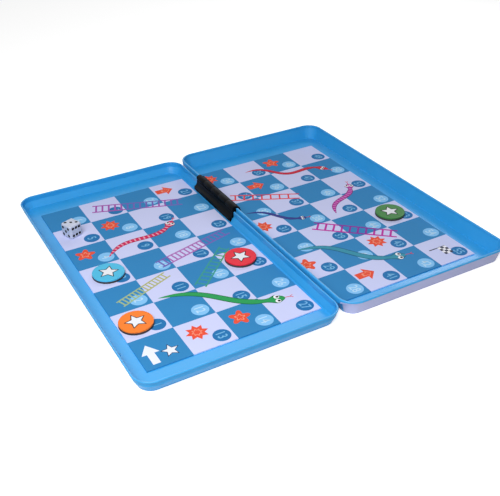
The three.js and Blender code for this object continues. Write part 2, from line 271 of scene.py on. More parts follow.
def flower(radius, petals, lobe=0.22, steps=60):
    """r (1 - d + d cos(n t)), a round-lobed outline with lobes of the share d."""
    turn = even_turns(steps)
    reach = radius * (1 - lobe + lobe * np.cos(petals * turn))
    return reach[:, None] * directions(turn)


def arrow(reach, half_width, shaft, turned=0.0):
    """Plain arrow along +X, turned by an angle. The shaft's width is a share of the head's."""
    tip, neck, tail = 0.62, -0.18, -1.1
    outline = [(tip, 0), (neck, 1), (neck, shaft), (tail, shaft), (tail, -shaft), (neck, -shaft), (neck, -1)]
    cosine, sine = math.cos(turned), math.sin(turned)
    return np.array(outline) * (reach, half_width) @ np.array([(cosine, sine), (-sine, cosine)])


def bars(starts, ends, half_widths, low, thickness):
    """Flat straight bars: a rectangle carried from each start to its end."""
    starts, ends = np.asarray(starts, float), np.asarray(ends, float)
    along = (ends - starts) / np.linalg.norm(ends - starts, axis=1)[:, None]
    across = np.stack([-along[:, 1], along[:, 0]], -1) * np.asarray(half_widths)[:, None]
    corners = np.stack([starts - across, ends - across, ends + across, starts + across], 1)
    points = np.zeros((len(starts), 2, 4, 3))
    points[..., :2] = corners[:, None]
    points[..., 2] = low + thickness * np.array([0, 1])[:, None]
    box = np.array([(3, 2, 1, 0), (4, 5, 6, 7), (0, 1, 5, 4), (1, 2, 6, 5), (2, 3, 7, 6), (3, 0, 4, 7)])
    faces = (box[None] + 8 * np.arange(len(starts))[:, None, None]).reshape(-1, 4)
    return points.reshape(-1, 3), faces


# Materials

# Print on vinyl: the inks are satin, with a grain of 0.35 mm
INK = {"IOR": 1.45, "Specular IOR Level": 0.06}
INK_GRAIN = {"Scale": 1 / (0.35 * MM), "Detail": 2}
INK_GRAIN_DEPTH = 0.006 * MM

# A Mix node for colours: its inputs are 0, 6 and 7, and its output is 2
COLOURS = {"data_type": "RGBA", "output": 2}
WHITE = (1, 1, 1, 1)


def add_node(tree, kind, inputs=None, output=0, **settings):
    """Adds one node with its settings, links the inputs that are sockets, and sets the others. It gives back
    the output of that name or number, if the node has one."""
    node = tree.nodes.new(kind)
    for key, value in settings.items():
        setattr(node, key, value)
    for key, value in (inputs or {}).items():
        if isinstance(value, bpy.types.NodeSocket):
            tree.links.new(value, node.inputs[key])
        else:
            node.inputs[key].default_value = value
    return node.outputs[output] if len(node.outputs) else None


def new_material(name):
    """An empty material, its node tree and its object coordinates."""
    material = bpy.data.materials.new(name)
    material.use_nodes = True
    tree = material.node_tree
    tree.nodes.clear()
    return material, tree, add_node(tree, "ShaderNodeTexCoord", output="Object")


def shade(tone, factor=1.0):
    """The colour times a factor, held to 1, with an alpha of 1."""
    return (*np.clip(np.array(tone) * factor, 0, 1).tolist(), 1)


def close_material(tree, tone, gloss, limits, grain, depth, values, under=None):
    """The end of each surface: a roughness between two limits that follows one noise, a bump that follows
    another and may lie on a larger one, the shader and the output."""
    rough = add_node(tree, "ShaderNodeMapRange", {"Value": gloss, "To Min": limits[0], "To Max": limits[1]})
    bump = add_node(tree, "ShaderNodeBump", {"Height": grain, "Distance": depth, **(under or {})})
    shader = add_node(tree, "ShaderNodeBsdfPrincipled",
                      {"Base Color": tone, "Roughness": rough, "Normal": bump, **values})
    add_node(tree, "ShaderNodeOutputMaterial", {"Surface": shader})


def enamelled_tinplate(name, tone, rim):
    """Enamelled tinplate, roller-coated flat and then pressed: an even gloss colour with a faint orange peel
    of 0.8 mm, a slow wave in the flat sheet, and a paler line on the crown of the rolled rim, partly wear and
    partly a painted highlight."""
    spread, wear_and_highlight_height, wear_and_highlight = 0.06, 0.16 * MM, 0.12
    material, tree, place = new_material(name)
    cloud = add_node(tree, "ShaderNodeTexNoise", {"Vector": place, "Scale": 1 / (22 * MM), "Detail": 3})
    peel = add_node(tree, "ShaderNodeTexNoise", {"Vector": place, "Scale": 1 / (0.8 * MM), "Detail": 2})
    tint = add_node(tree, "ShaderNodeMix", {0: cloud, 6: shade(tone, 1 - spread), 7: shade(tone, 1 + spread)},
                    **COLOURS)
    height = add_node(tree, "ShaderNodeSeparateXYZ", {"Vector": place}, "Z")
    # The rim's crown is painted paler: partly wear of the thin enamel on the roll, partly a painted highlight
    crown = add_node(tree, "ShaderNodeMapRange",
                     {"Value": height, "From Min": rim - wear_and_highlight_height, "From Max": rim, "To Max": wear_and_highlight},
                     interpolation_type="SMOOTHSTEP")
    worn_and_highlit = add_node(tree, "ShaderNodeMix", {0: crown, 6: tint, 7: shade(np.array(tone) * 0.5 + 0.5)},
                    **COLOURS)
    wave = add_node(tree, "ShaderNodeBump", {"Height": cloud, "Distance": 0.05 * MM})
    close_material(tree, worn_and_highlit, peel, (0.3, 0.42), peel, 0.004 * MM,
                   {"Coat Weight": 0.2, "Coat Roughness": 0.15, "Specular IOR Level": 0.3}, {"Normal": wave})
    return material


def printed_vinyl(name, half, on_blue, on_white):
    """Vinyl sheet, screen printed in squares: flat satin inks with a fine print grain. An ink has one tone
    on the blue squares and another on the white ones, because the inks are laid over each other. A little
    slack keeps the sheet's edges in their own squares."""
    mottle, slack = 0.03, 0.0005
    material, tree, place = new_material(name)
    corner, side = board_grid(half)
    start, scale = (2 + slack - corner * (1 - slack) / side).tolist(), (1 - slack) / side
    squares = add_node(tree, "ShaderNodeMapping",
                       {"Vector": place, "Location": (*start, 0.5), "Scale": (scale, scale, 0)})
    inks = add_node(tree, "ShaderNodeTexChecker",
                    {"Vector": squares, "Color1": shade(on_white), "Color2": shade(on_blue), "Scale": 1})
    grain = add_node(tree, "ShaderNodeTexNoise", {"Vector": place, **INK_GRAIN})
    cloud = add_node(tree, "ShaderNodeTexNoise", {"Vector": place, "Scale": 1 / (18 * MM), "Detail": 2})
    tone = add_node(tree, "ShaderNodeMapRange", {"Value": cloud, "To Min": 1 - mottle, "To Max": 1 + mottle})
    laid = add_node(tree, "ShaderNodeVectorMath", {0: inks, "Scale": tone}, operation="SCALE")
    close_material(tree, laid, grain, (0.42, 0.56), grain, INK_GRAIN_DEPTH, INK)
    return material


def drawn_ink(name, body, outline, bands, pitch=0.0):
    """Screen-printed ink of a drawn shape: a body tone, a darker line along its edge and pale bands across.
    The first pattern number runs along the shape in metres, the second from 0 to 1 across it."""
    material, tree, place = new_material("Printed ink, " + name)
    grain = add_node(tree, "ShaderNodeTexNoise", {"Vector": place, **INK_GRAIN})
    pattern = add_node(tree, "ShaderNodeUVMap", uv_map="Pattern")
    along = add_node(tree, "ShaderNodeSeparateXYZ", {"Vector": pattern})
    across = along.node.outputs["Y"]
    centred = add_node(tree, "ShaderNodeMath", {0: across, 1: 0.5}, operation="SUBTRACT")
    side = add_node(tree, "ShaderNodeMath", {0: centred}, operation="ABSOLUTE")
    edge = add_node(tree, "ShaderNodeMapRange", {"Value": side, "From Min": 0.34, "From Max": 0.40})
    turn = add_node(tree, "ShaderNodeMath", {0: along, 1: 2 * math.pi / max(pitch, MM)}, operation="MULTIPLY")
    wave = add_node(tree, "ShaderNodeMath", {0: turn}, operation="SINE")
    band = add_node(tree, "ShaderNodeMapRange",
                    {"Value": wave, "From Min": 0.3, "From Max": 0.6, "To Max": 0.8 if pitch else 0})
    banded = add_node(tree, "ShaderNodeMix", {0: band, 6: shade(body), 7: shade(bands)}, **COLOURS)
    lined = add_node(tree, "ShaderNodeMix", {0: edge, 6: banded, 7: shade(outline)}, **COLOURS)
    close_material(tree, lined, grain, (0.4, 0.54), grain, INK_GRAIN_DEPTH, INK)
    return material


def plain_ink(name, hex_colour):
    """Screen-printed ink of one tone."""
    return drawn_ink(name, *[linear(hex_colour)] * 3)


def plain_finish(name, tone, roughness, grain_size, grain_depth, spread=0.04, values=None):
    """Moulded, painted or rubbed surface of one material: its tone and gloss drift a little over 6 mm, and a
    fine grain of the given size and depth breaks up the highlights."""
    material, tree, place = new_material(name)
    cloud = add_node(tree, "ShaderNodeTexNoise", {"Vector": place, "Scale": 1 / (6 * MM), "Detail": 4})
    grain = add_node(tree, "ShaderNodeTexNoise", {"Vector": place, "Scale": 1 / grain_size, "Detail": 2})
    tint = add_node(tree, "ShaderNodeMix", {0: cloud, 6: shade(tone, 1 - spread), 7: shade(tone, 1 + spread)},
                    **COLOURS)
    limits = (roughness * 0.8, min(1, roughness * 1.2))
    close_material(tree, tint, cloud, limits, grain, grain_depth, values or {})
    return material


def moulded_die(name, body, paint):
    """Urea plastic die, tumbled to a soft gloss, with paint in its pips. The first pattern number is the
    distance from the nearest pip's middle as a share of the pip's radius."""
    spread = 0.03
    material, tree, place = new_material(name)
    cloud = add_node(tree, "ShaderNodeTexNoise", {"Vector": place, "Scale": 1 / (2 * MM), "Detail": 3})
    tint = add_node(tree, "ShaderNodeMix", {0: cloud, 6: shade(body, 1 - spread), 7: shade(body, 1 + spread)},
                    **COLOURS)
    pattern = add_node(tree, "ShaderNodeUVMap", uv_map="Pattern")
    reach = add_node(tree, "ShaderNodeSeparateXYZ", {"Vector": pattern})
    painted = add_node(tree, "ShaderNodeMapRange",
                       {"Value": reach, "From Min": 0.92, "From Max": 1.02, "To Min": 1, "To Max": 0})
    whole = add_node(tree, "ShaderNodeMix", {0: painted, 6: tint, 7: shade(paint)}, **COLOURS)
    close_material(tree, whole, cloud, (0.22, 0.34), cloud, 0.006 * MM,
                   {"IOR": 1.52, "Specular IOR Level": 0.2})
    return material


def set_material(mesh, material):
    """The only material of a mesh."""
    mesh.materials.clear()
    mesh.materials.append(material)


# Trays

# Steps along the tin's line: the foot's curve, either part of the wall, the skirt and the rolled rim
FOOT_STEPS, WALL_STEPS, SKIRT_STEPS, RIM_STEPS = 6, 6, 12, 22
RIM_DEGREES = 250
FLOOR_STRIP = 1.0 * MM

# Steps round the outline: a corner and a side
CORNER_STEPS, SIDE_STEPS = 17, 14

# Rows of the rim: the first that turns under, and how many at its end make the hem
DOWNWARD_ROW, HEM_ROWS = 16, 8

# A place whose outward direction is at least this much towards the hinge, or straight away from it
TOWARDS_HINGE, STRAIGHT_AWAY = 0.95, 0.9999

NOTCH_ROOM, WALL_ROOM = 0.4 * MM, 0.1 * MM
DIMPLE_RADIUS, DIMPLE_DROP, DIMPLE_REACH = 1.5 * MM, 1.6 * MM, 2 * MM
DIMPLE_STEPS = 21
DIMPLE_SHARES = (0.28, -0.36)


def tray_section(shape, height, tin):
    """Middle line of the tin as (inset from the rim's outside, height): flat floor, foot curve, leaning wall,
    upright skirt and rolled rim. The rim is (c / 2 + k cos a, height - c / 2 + k sin a), a from 0 upwards."""
    half = tin / 2
    wall = shape.curl - half
    skirt_foot = height - shape.skirt
    lean = shape.taper / (skirt_foot - tin)
    foot_x = wall + shape.taper
    t = np.linspace(0, 1, FOOT_STEPS)[:, None]
    start, middle, end = np.array([(foot_x + shape.foot, half), (foot_x, half),
                                   (foot_x - lean * shape.foot, half + shape.foot)])
    foot = (1 - t) ** 2 * start + 2 * t * (1 - t) * middle + t ** 2 * end
    levels = np.concatenate([np.linspace(end[1], shape.notch, WALL_STEPS)[1:],
                             np.linspace(shape.notch, skirt_foot, WALL_STEPS)[1:]])
    leaning = np.stack([wall + lean * (skirt_foot - levels), levels], -1)
    radius = shape.curl / 2 - half
    top = height - shape.curl / 2
    skirt = np.linspace(skirt_foot, top, SKIRT_STEPS)[1:]
    upright = np.stack([np.full(len(skirt), wall), skirt], -1)
    turn = np.radians(np.linspace(0, RIM_DEGREES, RIM_STEPS)[1:])
    rim = np.array([(shape.curl / 2, top)]) + radius * directions(turn)
    flat = np.array([(foot_x + shape.foot + FLOOR_STRIP, half)])
    section = np.concatenate([flat, foot, leaning, upright, rim])
    return section, len(section) - len(rim)


def tray_stations(low, high, corner, marks):
    """Places along the line through the four corner centres, anticlockwise from above, with the outward
    direction at each: (cos a, sin a) round a corner, and one direction along a side."""
    centres = np.array([(high.x - corner, high.y - corner), (low.x + corner, high.y - corner),
                        (low.x + corner, low.y + corner), (high.x - corner, low.y + corner)])
    places, angles = [], []
    for side in range(4):
        turn = (side + np.linspace(0, 1, CORNER_STEPS)) * math.pi / 2
        places.append(np.repeat(centres[side][None], len(turn), 0))
        angles.append(turn)
        start, end = centres[side], centres[(side + 1) % 4]
        axis = side % 2
        even = np.linspace(start[axis], end[axis], SIDE_STEPS)[1:-1]
        stops = np.concatenate([even, marks.get(side, [])])
        shares = np.sort((stops - start[axis]) / (end[axis] - start[axis]))
        places.append(start + shares[:, None] * (end - start))
        angles.append(np.full(len(shares), (side + 1) * math.pi / 2))
    return np.concatenate(places), directions(np.concatenate(angles))


def tray(half, shape, tin, materials, dimples=(), hem=0.0):
    """Pressed tray: the section's line carried round the outline, p = centre + (corner - inset) outward. The
    cells of the hinge's notch are left out. A dimple adds depth (1 - r^2)^2 to the inset round its middle.
    Along the hinge the rim's last points hang straight down by the hem instead, a share cos^8 of the turn."""
    name = half + "_tray"
    low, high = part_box(name)
    leaf_low, leaf_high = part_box("hinge_lid_leaf")
    notch_low, notch_high = leaf_low.y - NOTCH_ROOM, leaf_high.y + NOTCH_ROOM
    toward = {"lid": 1, "base": -1}[half]
    beside = np.linspace(-DIMPLE_REACH, DIMPLE_REACH, DIMPLE_STEPS)
    marks = {2 + toward: [notch_low, notch_high], 2 - toward: np.ravel([y + beside for y in dimples])}
    section, rim_row = tray_section(shape, high.z, tin)
    places, outward = tray_stations(low, high, shape.corner, marks)
    inset = np.repeat(section[:, :1], len(places), 1)
    height = np.repeat(section[:, 1:], len(places), 1)
    facing = outward[:, 0] * toward
    to_hinge = np.clip(facing, 0, 1)
    rim_middle = high.z - shape.curl / 2
    if hem > 0:
        share = to_hinge ** 8
        hang = rim_middle - np.linspace(0, hem, HEM_ROWS)[:, None]
        inset[-HEM_ROWS:] += share * (tin / 2 - inset[-HEM_ROWS:])
        height[-HEM_ROWS:] += share * (hang - height[-HEM_ROWS:])
    for y in dimples:
        level = rim_middle - DIMPLE_DROP
        r = np.hypot(places[:, 1] - y, height - level) / DIMPLE_RADIUS
        depth = shape.dimple * np.clip(1 - r ** 2, 0, 1) ** 2 * (facing < -STRAIGHT_AWAY)
        inset[:rim_row] += depth[:rim_row]
    points = np.zeros((len(section), len(places), 3))
    points[..., :2] = places + (shape.corner - inset)[..., None] * outward
    points[..., 2] = height
    quads = grid_quads(len(section), len(places))
    middle = points.reshape(-1, 3)[quads].mean(1)
    side = high.x if toward > 0 else low.x
    in_notch = np.abs(middle[:, 0] - side) < shape.curl + shape.taper + WALL_ROOM
    in_notch &= (middle[:, 1] > notch_low) & (middle[:, 1] < notch_high) & (middle[:, 2] > shape.notch)
    # The tin's other side has the next material, so that material 0 means the outside's enamel on both sides,
    # and the last one the inside's on both
    last = len(materials) - 1
    by_hinge = to_hinge[quads % len(places)].min(1) > TOWARDS_HINGE
    # The rim's rows that turn under are pale on both sides: painted lighter to hide the shade under the roll
    downward = np.arange(len(quads)) // len(places) >= rim_row + DOWNWARD_ROW
    slots = np.where(by_hinge, last, np.where(downward, 0, last // 2))
    parts = [(points, quads[~in_notch & (slots == kind)].tolist(), kind) for kind in range(last + 1)]
    parts.append((points, [list(range(len(places)))[::-1]], last // 2))
    piece = make_piece(name + "_tin", parts, materials, half, outward=False)
    wall = piece.modifiers.new("Tin", "SOLIDIFY")
    wall.thickness = tin
    wall.offset = 0
    wall.use_even_offset = True
    wall.material_offset = wall.material_offset_rim = min(last, 1)
    finish_shape(piece)
    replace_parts(piece, name)


class GAME_OT_lid_tray(bpy.types.Operator):
    """Blue lid tray with its rolled rim, upright skirt and two pressed dimples"""
    bl_idname = "travel_game.lid_tray"
    bl_label = "Lid Tray"

    def execute(self, context):
        game = context.scene.travel_game
        low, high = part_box("lid_tray")
        enamel = enamelled_tinplate("Blue enamelled tinplate, lid", game.tin.blue, high.z)
        dimples = [share * (high.y - low.y) for share in DIMPLE_SHARES]
        tray("lid", game.lid, game.tin.thickness, [enamel], dimples)
        return {"FINISHED"}


class GAME_OT_base_tray(bpy.types.Operator):
    """Base tray, blue inside and along the hinge, and pale outside"""
    bl_idname = "travel_game.base_tray"
    bl_label = "Base Tray"

    def execute(self, context):
        game = context.scene.travel_game
        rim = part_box("base_tray")[1].z
        pale = enamelled_tinplate("Pale enamelled tinplate", game.tin.pale, rim)
        blue = enamelled_tinplate("Blue enamelled tinplate, base", game.tin.blue, rim)
        tray("base", game.base, game.tin.thickness, [pale, pale, blue], hem=game.base.hem)
        return {"FINISHED"}


# Board

HALVES = ("lid", "base")


def board_grid(half):
    """Near left corner of a half's squares, and a square's side. The base's sheet is trimmed along the
    hinge, so that its first column starts outside it."""
    low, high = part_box(half + "_board_sheet")
    side = (high.y - low.y) / ROWS
    return np.array([high.x - COLUMNS * side, low.y]), side


def board_place(half, across, along):
    """A place on a half, counted in squares from its near left corner."""
    corner, side = board_grid(half)
    return corner + np.array([across, along]) * side


def board_top(half):
    """Height of a sheet's face."""
    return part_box(half + "_board_sheet")[1].z


class GAME_OT_board_sheets(bpy.types.Operator):
    """Chequered print of both board sheets"""
    bl_idname = "travel_game.board_sheets"
    bl_label = "Board Sheets"

    def execute(self, context):
        inks = context.scene.travel_game.print
        for half in HALVES:
            sheet = half + "_board_sheet"
            vinyl = printed_vinyl("Printed vinyl, " + sheet, half, inks.blue, inks.white)
            set_material(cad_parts[sheet].data, vinyl)
        return {"FINISHED"}


# The number disc's place in its square. For the built-in font: a digit's height over the letter size, how far
# its strokes are thickened, and how narrow it is printed
DISC_PLACE, DISC_STEPS = (0.757, 0.26), 36
DIGIT_SHARE, STROKE_SHARE, NARROW_SHARE = 0.7, 0.012, 0.78


def digit_shape(number, size, thickness):
    """Vertices and faces of a number, its middle at the origin, made from the built-in font."""
    text = bpy.data.curves.new("number", "FONT")
    text.body = str(number)
    text.size = size
    text.extrude = thickness / 2
    text.resolution_u = 3
    text.offset = size * STROKE_SHARE
    text.align_x = text.align_y = "CENTER"
    holder = add_object("number", text)
    mesh = shaped_mesh(holder)
    points = np.zeros(len(mesh.vertices) * 3)
    mesh.vertices.foreach_get("co", points)
    faces = [list(face.vertices) for face in mesh.polygons]
    bpy.data.objects.remove(holder)
    bpy.data.curves.remove(text)
    bpy.data.meshes.remove(mesh)
    points = points.reshape(-1, 3)
    points[:, :2] -= (points[:, :2].min(0) + points[:, :2].max(0)) / 2
    return points, faces


def square_number(half, column, row):
    """Numbers run up the first column, down the second and so on, 28 squares on each half."""
    column += 0 if half == "lid" else COLUMNS
    return column * ROWS + (row if column % 2 == 0 else ROWS - 1 - row)


class GAME_OT_numbers(bpy.types.Operator):
    """Number discs and their digits. The first square has no number"""
    bl_idname = "travel_game.numbers"
    bl_label = "Numbers"

    def execute(self, context):
        inks = context.scene.travel_game.print
        for half in HALVES:
            top = board_top(half)
            discs, digits = [], []
            for column, row in np.ndindex(COLUMNS, ROWS):
                number = square_number(half, column, row)
                if number == 0:
                    continue
                centre = board_place(half, column + DISC_PLACE[0], row + DISC_PLACE[1])
                points, faces, pattern = polar_film(circle(inks.disc / 2, DISC_STEPS), centre, top, inks.film)
                discs.append((points, faces, 0, pattern))
                points, faces = digit_shape(number, inks.digit / DIGIT_SHARE, inks.film)
                placed = np.stack([centre[0] + points[:, 1], centre[1] - NARROW_SHARE * points[:, 0],
                                   top + inks.film + points[:, 2]], -1)
                digits.append((placed, faces, 0))
            disc_ink = printed_vinyl("Printed disc ink, " + half, half, inks.pale_disc, inks.dark_disc)
            digit_ink = printed_vinyl("Printed digit ink, " + half, half, inks.pale_digit, inks.blue_digit)
            make_piece(half + "_number_discs", discs, [disc_ink], half)
            make_piece(half + "_numbers", digits, [digit_ink], half)
        return {"FINISHED"}


SNAKES = {
    # half, tail and head in squares, width and bend in mm, waves, body, outline and bands, their pitch in mm
    "snake_green": ("lid", (1.12, 2.1), (3.55, 0.72), 4.2, 3.4, 1.0, "#2f9d58", "#1d6b3c", "#7fd08c", 0),
    "snake_crimson": ("lid", (0.8, 4.2), (2.8, 5.02), 3.6, 3.6, 1.0, "#d22b5c", "#a51a45", "#f2b4c8", 2.6),
    "snake_teal": ("base", (0.45, 2.25), (2.6, 0.78), 4.2, 4.2, 1.0, "#3d93ab", "#255f7a", "#7cc4d2", 0),
    "snake_red": ("base", (1.4, 6.45), (3.55, 5.42), 3.0, 3.4, 1.5, "#cf3145", "#9b1d33", "#f0a2a8", 0),
    "snake_navy": ("base", (0.3, 4.4), (1.55, 3.45), 2.5, 2.4, 1.0, "#39408c", "#22285e", "#8a90cc", 0),
    "snake_magenta": ("base", (2.3, 3.2), (3.5, 4.4), 3.5, 2.9, 1.0, "#b3309c", "#7e1c70", "#dc94cf", 2.2),
}
SNAKE_STEPS, SNAKE_SIDES = 110, 12

# Along a snake, from its tail at 0 to its nose at 1: where neck and head are, and the lengths over which the
# tail starts, the body grows, and neck, head and nose fade. The head is looked for from the last 30 steps on
NECK_SHARE, HEAD_SHARE = 0.84, 0.93
START_SHARE, GROWTH_SHARE, NECK_FADE_SHARE, HEAD_FADE_SHARE, NOSE_SHARE = 0.02, 0.16, 0.05, 0.04, 0.07
HEAD_STEP = SNAKE_STEPS - 30

# Of the width: how much the neck is narrower and the head wider. Of the head: the eyes and their pupils
NECK_DEPTH_SHARE, HEAD_SWELL_SHARE = 0.3, 0.3
EYE_SHARE, PUPIL_SHARE, EYE_ASIDE_SHARE, EYE_AHEAD_SHARE, LOOK_SHARE = 0.42, 0.22, 0.5, 0.2, 0.12
EYE_STEPS, PUPIL_STEPS = 20, 16
TONGUE_HALF_WIDTH, THIN_BODY = 0.16 * MM, 0.3 * MM

# Thickness or level of printed layers, in films of ink
BODY_FILMS, EYE_FILMS, PUPIL_FILMS, TONGUE_FILMS, RAIL_FILMS, RUNG_FILMS = 4, 3.5, 4.5, 3, 2.5, 3


def snake_parts(half, tail, head, width, bend, waves, film):
    """Printed snake: an ellipse of half-width w(s) carried along tail + s (head - tail), with bend
    sin(2 pi n s) aside. w grows from the tail, narrows at the neck and swells to a round head."""
    tail, head = board_place(half, *tail), board_place(half, *head)
    top = board_top(half)
    s = np.linspace(0, 1, SNAKE_STEPS)
    along = (head - tail) / np.linalg.norm(head - tail)
    aside = np.array([-along[1], along[0]])
    line = tail + s[:, None] * (head - tail) + (bend * np.sin(2 * math.pi * waves * s))[:, None] * aside
    tangent = np.gradient(line, axis=0)
    tangent /= np.linalg.norm(tangent, axis=1)[:, None]
    normal = np.stack([-tangent[:, 1], tangent[:, 0]], -1)
    neck = NECK_DEPTH_SHARE * np.exp(-((s - NECK_SHARE) / NECK_FADE_SHARE) ** 2)
    swell = HEAD_SWELL_SHARE * np.exp(-((s - HEAD_SHARE) / HEAD_FADE_SHARE) ** 2)
    nose = np.clip((s - HEAD_SHARE) / NOSE_SHARE, 0, 1)
    reach = width * ((1 - np.exp(-s / GROWTH_SHARE)) * (1 - neck) / 2 + swell)
    reach *= np.sqrt(np.clip(1 - nose ** 2, 0, 1)) * np.clip(s / START_SHARE, 0, 1)
    turn = even_turns(SNAKE_SIDES)
    lift = BODY_FILMS * film * np.clip(reach / THIN_BODY, 0, 1)
    points = np.zeros((len(s), len(turn), 3))
    points[..., :2] = line[:, None] + (reach[:, None] * np.cos(turn))[..., None] * normal[:, None]
    points[..., 2] = top + lift[:, None] * (0.5 + 0.5 * np.sin(turn))
    run = np.cumsum(np.r_[0, np.linalg.norm(np.diff(line, axis=0), axis=1)])
    pattern = np.stack(np.broadcast_arrays(run[:, None], 0.5 + 0.5 * np.cos(turn)[None]), -1).reshape(-1, 2)
    parts = [(points, grid_quads(len(s), len(turn)), 0, pattern)]

    # Eyes on both sides of the widest place of the head, each a white disc with a pupil that looks ahead
    spot = np.argmax(reach[HEAD_STEP:]) + HEAD_STEP
    wide, ahead, beside = reach[spot], reach[spot] * tangent[spot], reach[spot] * normal[spot]
    for sign in (-1, 1):
        eye = line[spot] + sign * EYE_ASIDE_SHARE * beside + EYE_AHEAD_SHARE * ahead
        white = polar_film(circle(EYE_SHARE * wide, EYE_STEPS), eye, top + EYE_FILMS * film, film)
        pupil = polar_film(circle(PUPIL_SHARE * wide, PUPIL_STEPS), eye + LOOK_SHARE * ahead,
                           top + PUPIL_FILMS * film, film)
        parts += [(*white[:2], 1), (*pupil[:2], 2)]

    # Forked tongue: from just inside the nose to the fork, and from there to two ends
    ahead, beside = width * tangent[-2], width * normal[-2]
    root_share, fork_share, end_share, spread_share = 0.1, 0.55, 0.35, 0.6
    fork = line[-1] + fork_share * ahead
    ends = [fork + end_share * (ahead + sign * spread_share * beside) for sign in (-1, 1)]
    tongue = bars([line[-1] - root_share * ahead, fork, fork], [fork, *ends], [TONGUE_HALF_WIDTH] * 3, top,
                  TONGUE_FILMS * film)
    parts.append((*tongue, 3))
    return parts


class GAME_OT_snakes(bpy.types.Operator):
    """Printed snakes on both halves of the board"""
    bl_idname = "travel_game.snakes"
    bl_label = "Snakes"

    def execute(self, context):
        film = context.scene.travel_game.print.film
        dots = [plain_ink("eye white", "#f6f6fc"), plain_ink("pupil black", "#16161c"),
                plain_ink("tongue red", "#e02838")]
        for name, (half, tail, head, width, bend, waves, *tones, pitch) in SNAKES.items():
            skin = drawn_ink(name, *map(linear, tones), pitch * MM)
            parts = snake_parts(half, tail, head, width * MM, bend * MM, waves, film)
            make_piece(name, parts, [skin, *dots], half)
        return {"FINISHED"}


LADDERS = {
    # half, foot and top in squares, width, rung spacing and rail width in mm, ink on blue and white squares
    "ladder_purple_far": ("lid", (1.25, 6.62), (3.45, 5.8), 7.2, 3.6, 1.05, "#7468b8", "#a95cb0"),
    "ladder_purple_middle": ("lid", (1.7, 3.3), (3.75, 3.85), 6.0, 2.8, 0.95, "#7468b8", "#b070b8"),
    "ladder_yellow": ("lid", (0.35, 2.3), (1.7, 2.86), 5.0, 2.2, 0.8, "#a3ba8c", "#b3b577"),
    "ladder_green": ("lid", (2.15, 2.05), (3.35, 3.2), 5.6, 3.3, 0.85, "#3f9a92", "#4fa070"),
    "ladder_red": ("base", (0.35, 5.35), (2.0, 4.5), 5.8, 5.2, 0.95, "#c0405e", "#e24850"),
    "ladder_magenta": ("base", (1.45, 3.0), (3.0, 1.62), 7.0, 4.4, 1.15, "#8a3aa0", "#c03aa4"),
}
LADDER_TOP_SHARE = 0.9
FIRST_RUNG_SHARE, LAST_RUNG_SHARE = 0.6, 0.3


def ladder_parts(half, foot, top, width, spacing, rail, film):
    """Printed ladder: two rails from foot to top, and rungs at equal steps between them."""
    foot, top = board_place(half, *foot), board_place(half, *top)
    level = board_top(half)
    reach = np.linalg.norm(top - foot)
    along = (top - foot) / reach
    aside = np.array([-along[1], along[0]])
    widths = (width / 2, width / 2 * LADDER_TOP_SHARE)
    starts = [foot - widths[0] * aside, foot + widths[0] * aside]
    ends = [top - widths[1] * aside, top + widths[1] * aside]
    rails = bars(starts, ends, [rail / 2] * 2, level, RAIL_FILMS * film)
    steps = np.arange(spacing * FIRST_RUNG_SHARE, reach - spacing * LAST_RUNG_SHARE, spacing)
    middle = foot + steps[:, None] * along
    out = np.interp(steps, (0, reach), widths)[:, None] * aside
    rungs = bars(middle - out, middle + out, [rail / 2] * len(steps), level, RUNG_FILMS * film)
    return [(*rails, 0), (*rungs, 0)]


class GAME_OT_ladders(bpy.types.Operator):
    """Printed ladders on both halves of the board"""
    bl_idname = "travel_game.ladders"
    bl_label = "Ladders"

    def execute(self, context):
        film = context.scene.travel_game.print.film
        for name, (half, foot, top, width, spacing, rail, on_blue, on_white) in LADDERS.items():
            ink = printed_vinyl("Printed ink, " + name, half, linear(on_blue), linear(on_white))
            parts = ladder_parts(half, foot, top, width * MM, spacing * MM, rail * MM, film)
            make_piece(name, parts, [ink], half)
        return {"FINISHED"}


BADGES = {
    "lid": [(1, 0), (2, 0), (3, 6), (1, 5), (0, 4)],
    "base": [(0, 6), (2, 6), (1, 5), (0, 3), (0, 1), (1, 0), (2, 1)],
}
BADGE_PLACE = (0.36, 0.6)

# Layers of a badge from below: share of its size and material number
BADGE_LAYERS = ((1, 0), (0.5, 1), (0.36, 0))


def lined_star(centre, low, film, radii, depths, turned):
    """Five-pointed star of material 0 on a larger one of material 1, each with its own depth of notch."""
    stars = [polar_film(star(radius, 5, depth, turned), centre, low + level * film, film)[:2]
             for level, (radius, depth) in enumerate(zip(radii, depths))]
    return [(*stars[0], 1), (*stars[1], 0)]


